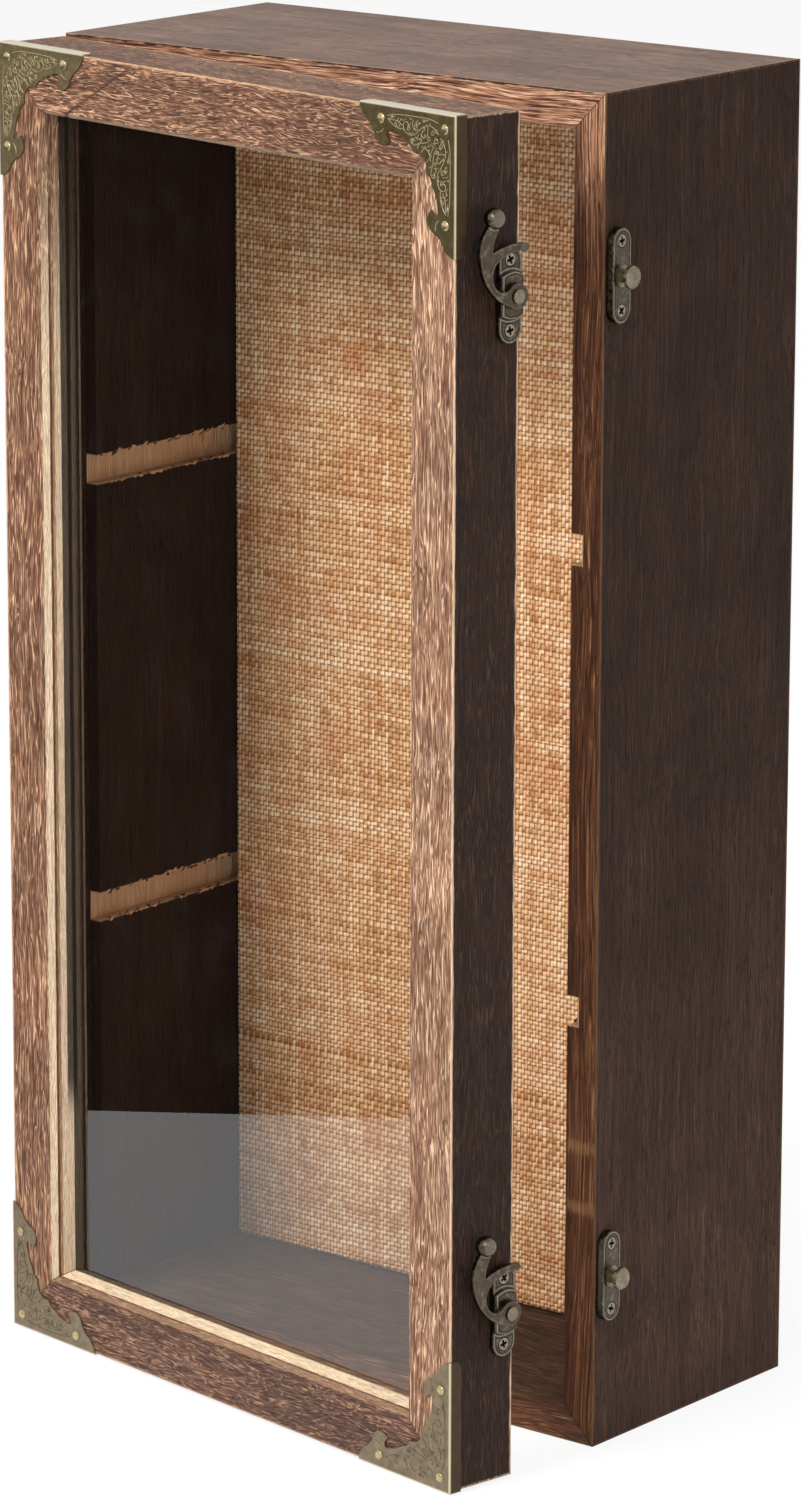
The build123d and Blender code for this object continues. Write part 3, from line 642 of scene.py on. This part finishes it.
def burlap():
    """Plain-weave jute stretched over the pin board and turned round its edges."""
    rng = np.random.default_rng(7)
    n, m = [3 * round(2 * (half + CLOTH_TURN) / pitch) + 1
            for half, pitch in ((CLOTH_WIDE, WARP_PITCH), (CLOTH_TALL, WEFT_PITCH))]
    us, vs = thread_places(rng, n, CLOTH_WIDE), thread_places(rng, m, CLOTH_TALL)
    height, tone, slub = weave(rng, n, m)
    depth = (0.0003 * height + 0.00004 * slub * (height > 0.6)).clip(0.0, PROUD) - PROUD
    U, V = np.meshgrid(us, vs, indexing="ij")
    wave_u = 0.00022 * np.sin(V * 61 + 5 * np.sin(U * 23)) + 0.00006 * slub
    wave_v = 0.00028 * np.sin(U * 57 + 4 * np.sin(V * 19)) + 0.00006 * np.roll(slub, 3, 0)
    to_edge = np.minimum(CLOTH_WIDE - np.abs(U), CLOTH_TALL - np.abs(V)) + CLOTH_TURN
    still = np.minimum(1.0, to_edge / 0.004)
    U, V = U + wave_u * still, V + wave_v * still
    X, behind_x, turned_x = fold(U, CLOTH_WIDE)
    Z, behind_z, turned_z = fold(V, CLOTH_TALL)
    X = X + np.sign(X) * np.sin(turned_x) * depth
    Z = Z + np.sign(Z) * np.sin(turned_z) * depth
    Y = np.minimum(CLOTH_FRONT + behind_x + behind_z - np.cos(turned_x) * np.cos(turned_z) * depth, CLOTH_BACK)
    points = np.stack([X, Y, Z + HEIGHT / 2], axis=-1).reshape(-1, 3)
    index = np.arange(n * m).reshape(n, m)
    quads = np.stack([index[:-1, :-1], index[1:, :-1], index[1:, 1:], index[:-1, 1:]], axis=-1)
    # the four corners are cut away, where the cloth would lie double
    flat_u, flat_v = np.abs(us[:-1] + us[1:]) / 2 < CLOTH_WIDE, np.abs(vs[:-1] + vs[1:]) / 2 < CLOTH_TALL
    keep = flat_u[:, None] | flat_v[None, :]
    piece = mesh_object("woven_burlap_cover", points.tolist(), quads[keep].tolist(), burlap_material())
    values = np.zeros((n * m, 3), dtype=np.float32)
    values[:, 0] = tone.reshape(-1)
    values[:, 1] = height.reshape(-1)
    piece.data.attributes.new("thread", "FLOAT_VECTOR", "POINT").data.foreach_set("vector", values.reshape(-1))
    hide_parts("burlap_cover")
    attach(piece, "case")


burlap()


# ---------------- places on the object
PIN = Matrix.Translation((*HINGE, 0))
DOOR = PIN @ Matrix.Rotation(-AJAR, 4, "Z") @ PIN.inverted()  # from the closed door to the door as it stands


def side_face(y, z, side=1, turn=0.0):
    """Frame on a side face: local x towards the back (front on the left side), y up, z out of the wood."""
    base = Matrix(((0, 0, side, side * HALF_WIDTH), (side, 0, 0, y), (0, 1, 0, z), (0, 0, 0, 1)))
    return base @ Matrix.Rotation(turn, 4, "Z")


def corner(side, level):
    """Frame of a door corner: local x and y run in from the corner along the two edges, z out of the front."""
    sx, sz = (-1 if side == "right" else 1), (-1 if level == "top" else 1)
    z = DOOR_HEAD if level == "top" else DOOR_FOOT
    return DOOR @ Matrix(((sx, 0, 0, -sx * HALF_WIDTH), (0, 0, -1, DOOR_FRONT), (0, sz, 0, z), (0, 0, 0, 1)))


def lift(place, x, y, z):
    """A frame moved by millimetres along its own axes."""
    return place @ Matrix.Translation(Vector((x, y, z)) * MM)


LATCH = {level: DOOR @ side_face(LATCH_Y, z) for level, z in LEVELS.items()}
CATCH = {level: side_face(CATCH_Y, z) for level, z in LEVELS.items()}
DOOR_LEAF = {level: DOOR @ side_face(HINGE[1], z, -1) for level, z in LEVELS.items()}
CASE_LEAF = {level: side_face(HINGE[1], z, -1, pi) for level, z in LEVELS.items()}
CORNERS = {(side, level): corner(side, level) for side in ("left", "right") for level in ("top", "bottom")}


# ---------------- screws, nails and rivets
def turned_field(radius, rings, around, height, skirt, tint=None):
    """A round head as rings of points: height(x, y, r) is its top, and skirt its side, as (radius, height)."""
    points, faces, quads = [(0, 0, height(0, 0, 0))], [], []
    tints = [tint(0, 0, 0) if tint else 0.0]
    circles = [(radius * (k + 1) / rings, None) for k in range(rings)] + [(r, h) for r, h in skirt]
    for r, h in circles:
        for a in range(around):
            t = 2 * pi * a / around
            x, y = r * cos(t), r * sin(t)
            points.append((x, y, height(x, y, r) if h is None else h))
            tints.append(tint(x, y, r) if tint and h is None else 0.0)
    for a in range(around):
        b = (a + 1) % around
        faces.append((0, 1 + a, 1 + b))
        for k in range(len(circles) - 1):
            near, far = 1 + k * around, 1 + (k + 1) * around
            quads.append((near + a, far + a, far + b, near + b))
    last = 1 + (len(circles) - 1) * around
    return points, faces + quads + [tuple(last + a for a in reversed(range(around)))], tints


def gather(name, places, shapes, material):
    """One object holding shape k in place k."""
    moved, rub = [], []
    for place, (verts, polys, tints) in zip(places, shapes):
        flip = place.determinant() < 0
        moved.append(([tuple(place @ Vector(v)) for v in verts],
                      [tuple(reversed(poly)) if flip else poly for poly in polys]))
        rub += tints
    made = mesh_object(name, *join_shapes(moved), material)
    add_rub(made.data, rub)
    return made


def phillips(radius, turn, shank, length):
    """A countersunk screw with a cross recess, its head just below z = 0."""
    width, reach, deep = 0.15 * radius, 0.6 * radius, 0.42 * radius
    seat = -0.36 * MM

    def wall(d, w):
        return min(1.0, max(0.0, (w - abs(d)) / (0.35 * width) + 1.0))

    def recess(x, y):
        u, v = x * cos(turn) + y * sin(turn), y * cos(turn) - x * sin(turn)
        return max(wall(u, width) * wall(v, reach), wall(v, width) * wall(u, reach))

    def rub_and_rim_shade(x, y, r):
        # dark in the cross recess, a ring of painted shade at the head's rim, rubbed elsewhere
        return -1.0 if recess(x, y) > 0.35 or r > 0.9 * radius else 0.55

    def top(x, y, r):
        crown = 0.1 * MM * (1 - (r / radius) ** 2)
        rim = -0.16 * MM * max(0.0, (r / radius - 0.86) / 0.14) ** 2
        return crown + rim - deep * recess(x, y) * (1 - 0.5 * min(1, r / reach)) - 0.12 * MM
    side = [(radius, seat), (shank, seat - (radius - shank)), (shank, -length), (0.2 * shank, -length)]
    return turned_field(radius, 24, 56, top, side, rub_and_rim_shade)


def nail(seed):
    """A domed brass nail, its head a little uneven from the hammer."""
    rng = random.Random(seed)
    dents = [(rng.uniform(-1.1, 1.1) * MM, rng.uniform(-1.1, 1.1) * MM, rng.uniform(0.5, 0.9) * MM,
              rng.uniform(0.03, 0.11) * MM) for _ in range(5)]
    radius, tall, under = 1.6 * MM, 0.88 * MM, -0.02 * MM
    ball = (radius ** 2 + tall ** 2) / (2 * tall)

    def top(x, y, r):
        z = sqrt(max(0, ball ** 2 - r ** 2)) - (ball - tall)
        return z - sum(d * exp(-((x - cx) ** 2 + (y - cy) ** 2) / w ** 2) for cx, cy, w, d in dents)

    def rub_and_rim_shade(x, y, r):
        # rubbed towards the middle, with a ring of painted shade at the head's rim
        return -1.0 if r > 0.93 * radius else 0.4 - 0.5 * (r / radius) ** 2
    side = [(radius, under), (0.58 * MM, under), (0.55 * MM, -8 * MM), (0.1 * MM, -8 * MM)]
    return turned_field(radius, 9, 28, top, side, rub_and_rim_shade)


def fasteners():
    """Screws in the plates and hinge leaves, and nails in the corner protectors."""
    rng = random.Random(4)
    sizes = {"plate": (2.02, 1.1, 9), "leaf": (1.82, 1.0, 8)}  # head and shank radius, length
    for name, frames, thick, spot, size, body in (
            ("latch_plate_screws", LATCH, 1.6, (0, 10), "plate", "door"),
            ("catch_plate_screws", CATCH, 2.5, (0, 10), "plate", "case"),
            ("hinge_door_screws", DOOR_LEAF, 1.0, (8.175, 9), "leaf", "door"),
            ("hinge_case_screws", CASE_LEAF, 1.0, (8.175, 9), "leaf", "case")):
        head, shank, length = (value * MM for value in sizes[size])
        places = [lift(place, spot[0], end * spot[1], thick) for place in frames.values() for end in (1, -1)]
        shapes = [phillips(head, rng.uniform(0, pi / 2), shank, length) for _ in places]
        finish(gather(f"{name}_detailed", places, shapes, screw_bronze), body, "screw_metal", name)
    spots = [(3.7, 3.7), (3.4, 30.3), (30.3, 3.4)]
    places = [lift(place, u, v, PLATE_THICK) for place in CORNERS.values() for u, v in spots]
    nails = [nail(seed) for seed in range(len(places))]
    finish(gather("dome_nails", places, nails, brass), "door", "brass_nails", "corner_nails")


fasteners()


# ---------------- cast plates and hooks
def rounded_copy(node, voxel, melting, material):
    """A node's own shape with its corners melted round."""
    made = link(f"{node}_cast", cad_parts[node].data.copy())
    fill(made.modifiers.new("weld", "WELD"), merge_threshold=1e-6)
    fill(made.modifiers.new("cells", "REMESH"), mode="VOXEL", voxel_size=voxel)
    fill(made.modifiers.new("melt", "SMOOTH"), factor=0.5, iterations=melting)
    mesh = bpy.data.meshes.new_from_object(made.evaluated_get(bpy.context.evaluated_depsgraph_get()))
    made.modifiers.clear()
    made.data = mesh
    mesh.materials.clear()
    mesh.materials.append(material)
    return made


def read_rows(collection, field, kind):
    values = np.zeros(len(collection) * 3, kind)
    collection.foreach_get(field, values)
    return values.reshape(-1, 3)


def edge_finder(points, facing, out, holes):
    """A tree of the points on a plate's sides, flattened along out, without those that line its holes."""
    side = np.abs(facing) < 0.55
    for hole in holes:
        from_hole = points - np.array(hole)
        flat = from_hole - np.outer(from_hole @ out, out)
        side &= np.linalg.norm(flat, axis=1) > 2.5 * MM
    spots = np.flatnonzero(side)
    tree = KDTree(len(spots))
    for i in spots:
        tree.insert(flattened(points[i], out), int(i))
    tree.balance()
    return tree


def flattened(point, out):
    return Vector(point - out * (point @ out))


def round_ball(points, ball):
    """The hook's ball pulled back to a true sphere, which the melting had dented."""
    reach = points - np.array(ball)
    far = np.linalg.norm(reach, axis=1)
    share = np.clip((3.5 * MM - far) / (0.3 * MM), 0.0, 1.0) * (far > 2.2 * MM)
    sphere = np.array(ball) + reach / far[:, None] * 3.06 * MM
    return points + (sphere - points) * share[:, None]


def cast_copy(node, body, normal, voxel, holes=(), rim=0.45, melting=4, ridged=1.0, ball=None, material=bronze,
              relief=1.0):
    """A node as a casting: rounded, with a rubbed rim and a dark groove along its outline."""
    made = rounded_copy(node, voxel, melting, material)
    mesh = made.data
    out = np.array(normal)
    points = read_rows(mesh.vertices, "co", np.float64)
    facing = read_rows(mesh.vertex_normals, "vector", np.float32) @ out
    tree = edge_finder(points, facing, out, holes)
    rub = np.zeros(len(points), dtype=np.float32)
    shift = np.zeros(len(points))
    for i in np.flatnonzero(facing > 0.6):
        if ball is not None and (Vector(points[i]) - ball).length < 3.6 * MM:
            rub[i] = 0.35
            continue
        from_edge = tree.find(flattened(points[i], out))[2] / MM - rim
        ridge = ridged * exp(-(from_edge / 0.17) ** 2)
        groove = ridged * exp(-((from_edge - 0.5) / 0.22) ** 2)
        shift[i] = relief * (0.09 * ridge - 0.08 * groove) * MM
        rub[i] = 0.75 * ridge - 0.6 * groove
    points = points + out * shift[:, None]
    if ball is not None:
        points = round_ball(points, ball)
    mesh.vertices.foreach_set("co", points.reshape(-1))
    add_rub(mesh, rub)
    mesh.polygons.foreach_set("use_smooth", [True] * len(mesh.polygons))
    mesh.update()
    finish(made, body, "cast_bronze", node)


BALL = (-8.6, 22.6, 4.3)  # the hook's ball in its latch's frame, in millimetres
HOOK_TILTS = {"upper": 0.0, "lower": 2.5}  # how far each hook leans at rest, in degrees


def hardware():
    door_out = tuple(DOOR.to_3x3() @ Vector((1, 0, 0)))
    for level in LEVELS:
        for kind, frames, body, out in (("latch", LATCH, "door", door_out), ("catch", CATCH, "case", (1, 0, 0))):
            holes = [tuple(lift(frames[level], 0, end * 10, 0).translation) for end in (1, -1)]
            cast_copy(f"{level}_{kind}_plate", body, out, 0.2 * MM, holes)
        tilt = Matrix.Rotation(radians(HOOK_TILTS[level]), 4, "Z")
        ball = lift(LATCH[level] @ tilt, *BALL).translation
        cast_copy(f"{level}_hook", f"{level}_hook", door_out, 0.18 * MM, rim=0.38, melting=11, ridged=0.4,
                  ball=ball, material=hook_bronze, relief=0.0)


hardware()


# ---------------- scrollwork on the protectors
def curl(u, v, radius, start, turns, way=1):
    """A small scroll that winds in towards its eye."""
    path, steps = [], 9
    for k in range(steps + 1):
        reach, angle = radius * (1 - 0.82 * k / steps), start + way * turns * 2 * pi * k / steps
        path.append((u + reach * cos(angle), v + reach * sin(angle)))
    return path


def frond(u, v, length, heading):
    """A short bent frond."""
    bend = [(0.0, 0.0), (0.45, 0.22), (0.8, 0.1), (1.0, -0.18)]
    c, s = cos(heading), sin(heading)
    return [(u + length * (a * c - b * s), v + length * (a * s + b * c)) for a, b in bend]


def strokes():
    """Scroll lines of half a protector, in millimetres from the door's corner."""
    curls = [curl(8.7, 5.1, 0.9, 0.4, 1.2), curl(15.6, 4.3, 1.1, 2.6, 1.2, -1), curl(24.3, 4.4, 0.7, 1.0, 1.1),
             curl(18.9, 5.0, 0.8, 4.0, 1.1, -1), curl(12.3, 2.4, 0.6, 3.1, 1.1), curl(26.2, 2.7, 0.55, 0.6, 1.0),
             curl(17.3, 8.3, 0.6, 2.2, 1.0), curl(10.6, 6.9, 0.8, 5.2, 1.2, -1), curl(13.8, 7.6, 0.7, 1.4, 1.1)]
    fronds = [frond(u, v, length, heading) for u, v, length, heading in (
        (9.6, 2.6, 1.9, 0.5), (11.9, 3.9, 1.7, 1.0), (13.9, 3.0, 1.8, 0.2), (17.9, 3.2, 1.6, 0.9),
        (19.9, 2.4, 1.9, 0.3), (21.9, 2.6, 1.6, 0.8), (24.2, 2.2, 1.5, 0.1), (14.6, 6.2, 1.8, 0.8),
        (16.8, 6.0, 1.7, 0.2), (12.0, 5.8, 1.4, 1.4), (9.9, 9.9, 1.7, 0.1), (11.6, 9.0, 1.6, 0.5),
        (22.6, 5.1, 1.5, -0.4), (7.0, 4.0, 1.5, 1.1))]
    return curls + fronds + [
        [(6.4, 2.3), (9.0, 1.5), (14.0, 1.4), (20.0, 1.5), (25.0, 1.7), (27.6, 2.4)],
        [(6.3, 5.4), (8.2, 3.6), (11.0, 3.2), (13.8, 4.6), (16.0, 6.6), (18.8, 6.9), (21.0, 5.4), (20.9, 3.6),
         (19.4, 3.1), (18.5, 4.2), (19.3, 5.1)],
        [(11.0, 3.2), (10.4, 5.0), (11.4, 6.8), (13.2, 6.9), (13.6, 5.7), (12.6, 5.3)],
        [(21.0, 5.4), (23.0, 5.6), (25.2, 4.8), (27.4, 3.3)],
        [(21.4, 4.4), (23.4, 3.4), (25.2, 3.3), (27.4, 3.3)],
        [(14.4, 8.6), (15.9, 9.6), (17.6, 9.0), (17.9, 7.9), (16.9, 7.5), (16.2, 8.2)],
        [(9.2, 7.0), (11.0, 8.2), (13.0, 8.5), (14.4, 8.6), (15.0, 10.2)],
        [(8.9, 8.0), (10.4, 9.3), (12.4, 9.9), (13.6, 11.2)],
        [(14.8, 2.4), (16.2, 3.6), (16.6, 5.0)],
        [(16.6, 2.3), (17.2, 3.2), (17.0, 4.4)],
        [(22.8, 2.4), (23.4, 3.0), (23.2, 3.8)],
        [(10.4, 1.9), (11.6, 2.2), (12.8, 2.0)],
        [(7.4, 6.3), (8.2, 7.3), (8.0, 8.4)],
        [(29.2, 6.2), (30.6, 7.8), (32.2, 7.4)],
    ]


def bead(size):
    return turned_field(size, 4, 12, lambda x, y, r: sqrt(max(0, size ** 2 - r ** 2)) * 0.7,
                        [(size, -0.05 * MM)])


def scrolls(side, level, material, radius, share):
    """Raised scroll lines and beads on a protector's face. share is how many of the lines are there."""
    face = lift(CORNERS[side, level], 0, 0, PLATE_THICK)
    name = f"{level}_{side}_scroll"
    curve = bpy.data.curves.new(name, "CURVE")
    fill(curve, dimensions="3D", bevel_depth=radius * MM, bevel_resolution=2, resolution_u=8, use_fill_caps=True)
    curve.materials.append(material)
    rng = random.Random(f"{side}{level}")
    for mirrored in (False, True):
        for path in strokes():
            if rng.random() > share:
                continue
            line = curve.splines.new("NURBS")
            line.points.add(len(path) - 1)
            for point, spot in zip(line.points, path):
                u, v = reversed(spot) if mirrored else spot
                point.co = (*(face @ (Vector((u, v, 0.02)) * MM)), 1)
            line.order_u = 3
            line.use_endpoint_u = True
    finish(link(name, curve), "door", "engraved_bronze")
    spots = [(8.9, 8.9), (10.6, 10.6), (6.9, 6.9)]
    for u, v in ((15.0, 7.6), (22.6, 4.6), (12.3, 4.3), (17.8, 2.3), (25.6, 2.5), (14.2, 3.1)):
        spots += [(u, v), (v, u)]
    places = [lift(face, u, v, 0.0) for u, v in spots]
    beads = [bead(rng.uniform(0.22, 0.36) * MM) for _ in places]
    finish(gather(f"{name}_beads", places, beads, material), "door", "engraved_bronze")


for side, level in CORNERS:
    scrolls(side, level, *((scroll_light, 0.14, 1.0) if level == "top" else (plate_dark, 0.1, 0.6)))


# ---------------- torn arris and splinters
X_AXIS, Y_AXIS, Z_AXIS = Vector((1, 0, 0)), Vector((0, 1, 0)), Vector((0, 0, 1))


def sliver(place, along, across, out, length, width, thick):
    """A torn fibre lying on a surface: a long flat diamond with a low ridge."""
    ends = [place - along * length / 2, place + along * length / 2 + across * width * 0.3]
    sides = [place - across * width / 2, place + across * width / 2]
    verts = [tuple(v) for v in (*ends, *sides, place + out * thick)]
    return verts, [(0, 2, 4), (2, 1, 4), (1, 3, 4), (3, 0, 4), (0, 3, 1, 2)]


def scatter(name, slivers, material):
    finish(mesh_object(name, *join_shapes(slivers), material, smooth=False), "case", "case_wood")


def arris_chips(rng):
    """Dark chips along the front arris of the case's top."""
    for _ in range(150):
        width = rng.uniform(0.25, 0.95) * MM * rng.choice((0.6, 0.8, 1.0))
        place = Vector((rng.uniform(-0.097, 0.097), -HALF_DEPTH, HEIGHT - 0.03 * MM - width / 2))
        yield sliver(place, X_AXIS, Z_AXIS, -Y_AXIS, rng.uniform(2.0, 8.5) * MM, width, 0.1 * MM)


def groove_splinters(rng):
    """Splinters along the edges of the shelf grooves: pale ones on the wood, dark ones over the groove."""
    pale, dark = [], []
    for wall, shelf, edge, _ in product((-1, 1), (-1, 1), (-1, 1), range(46)):
        width = rng.uniform(0.3, 1.2) * MM
        outward = rng.random() < 0.6
        level = HEIGHT / 2 + shelf * GROOVE_RISE + edge * GROOVE_HALF
        level += edge * (0.35 if outward else -0.3) * width
        place = Vector((wall * 0.0903, rng.uniform(-0.0445, 0.0155), level))
        lean = rng.uniform(-0.6, 0.6)
        along = Y_AXIS * cos(lean) + Z_AXIS * sin(lean)
        across = Z_AXIS * cos(lean) - Y_AXIS * sin(lean)
        length, thick = rng.uniform(0.8, 3.4) * MM, rng.uniform(0.06, 0.18) * MM
        (pale if outward else dark).append(sliver(place, along, across, -X_AXIS * wall, length, width, thick))
    return pale, dark


torn_rng = random.Random(12)
scatter("top_arris_chips", arris_chips(torn_rng), torn_dark)
pale_splinters, dark_splinters = groove_splinters(torn_rng)
scatter("groove_splinters_pale", pale_splinters, torn_pale)
scatter("groove_splinters_dark", dark_splinters, torn_dark)


# ---------------- camera, stage and light
CAMERA_PLACE = (1.20138, -1.50346, 0.65714)
CAMERA_AZIMUTH, CAMERA_RISE, CAMERA_ROLL = 38.8543, 13.7424, 0.1369
FOCAL_PIXELS, PHOTO_HEIGHT, SENSOR = 6557.64, 1500, 36
LAMP_TARGET = (0, 0, 0.2)


def camera():
    az, rise, roll = [radians(angle) for angle in (CAMERA_AZIMUTH, CAMERA_RISE, CAMERA_ROLL)]
    back = Vector((sin(az) * cos(rise), -cos(az) * cos(rise), sin(rise)))
    level = Vector((cos(az), sin(az), 0))
    upright = back.cross(level)
    right = level * cos(roll) + upright * sin(roll)
    up = upright * cos(roll) - level * sin(roll)
    data = bpy.data.cameras.new("view")
    fill(data, sensor_width=SENSOR, sensor_fit="AUTO", lens=FOCAL_PIXELS * SENSOR / PHOTO_HEIGHT, clip_start=0.05,
         clip_end=50)
    turn = Matrix((right, up, back)).transposed().to_4x4()
    turn.translation = Vector(CAMERA_PLACE)
    made = link("view", data)
    made.matrix_world = turn
    scene.camera = made


def stage_card(name, corners, material):
    made = mesh_object(name, corners, [(0, 1, 2, 3)], material, smooth=False)
    made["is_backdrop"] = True
    return made


def floor():
    """A pale floor that takes shadows, and is nearly white to the camera, glass and metal."""
    g = Graph("pale_floor")
    tone = g.ramp(g.noise(g.place(), 0.004, 2, 0.5), [(0.3, (0.86, 0.86, 0.86)), (0.7, (0.9, 0.9, 0.9))])
    glow = g.first("Emission", (1, 1, 1), Strength=1.0)
    material = g.surface(g.blend(g.mul(g.seen(), 0.86), g.first("BsdfDiffuse", tone), glow))
    size = 40.0
    made = stage_card("floor", [(-size, -size, 0), (size, -size, 0), (size, size, 0), (-size, size, 0)], material)
    made.location.z = -0.2 * MM


def dark_card():
    """A dark card that only glossy rays see, beyond the door: it paints a dark reflection into most of the glass.
    """
    g = Graph("glossy_only_dark_card")
    tone = g.ramp(g.noise(g.place(), 0.002, 2, 0.5), [(0.3, (0.004, 0.004, 0.004)), (0.7, (0.008, 0.008, 0.008))])
    material = g.surface(g.first("BsdfDiffuse", tone))
    away = Vector((-0.852, -0.522, 0))  # from the door, as the pane reflects the camera
    near = Vector((0.0, -0.0665, 0.0006)) + away * 0.305  # where the card begins
    side = (Vector((0.522, -0.852, 0)) - away * 0.075) * 2.0
    far = near + away * 4.0
    corners = [tuple(spot) for spot in (near + side, far + side, far - side, near - side)]
    fill(stage_card("painted_reflection_card", corners, material), visible_camera=False, visible_diffuse=False,
         visible_shadow=False, visible_transmission=False)


def lamp(name, place, size, power, colour=(1, 1, 1)):
    """A soft rectangle of light that reflections don't show."""
    data = bpy.data.lights.new(name, "AREA")
    fill(data, shape="RECTANGLE", size=size[0], size_y=size[1], energy=power, color=colour)
    made = link(name, data)
    aim = (Vector(LAMP_TARGET) - Vector(place)).to_track_quat("-Z", "Y").to_euler()
    fill(made, location=place, rotation_euler=aim, visible_glossy=False)
    return made


def white_room():
    """A world that is white to the camera, glass and metal, and dimmer as light."""
    g = Graph("white_room", "world")
    strength = g.smooth(g.seen(), 0.0, 1.0, 0.42, 1.0)
    scene.world = g.surface(g.first("Background", (1, 1, 1), strength))


camera()
floor()
dark_card()
glint = lamp("metal_glint", (0.6, -2.1, 1.9), (0.6, 0.5), 15)  # only the highlights on the metal
fill(glint, visible_glossy=True, visible_diffuse=False)
lamp("key_softbox", (-0.5, -2.05, 1.95), (1.0, 0.9), 76, (1.0, 0.98, 0.95))
lamp("overhead_softbox", (0.2, -0.2, 2.2), (1.6, 1.2), 30)
lamp("side_fill", (2.4, -0.9, 0.9), (1.2, 1.4), 16)
white_room()
scene.view_settings.view_transform = "Standard"

box = lambda b: [[float(v) for v in corner] for corner in b]
{"cad": box(cad_box), "visual": box(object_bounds())}
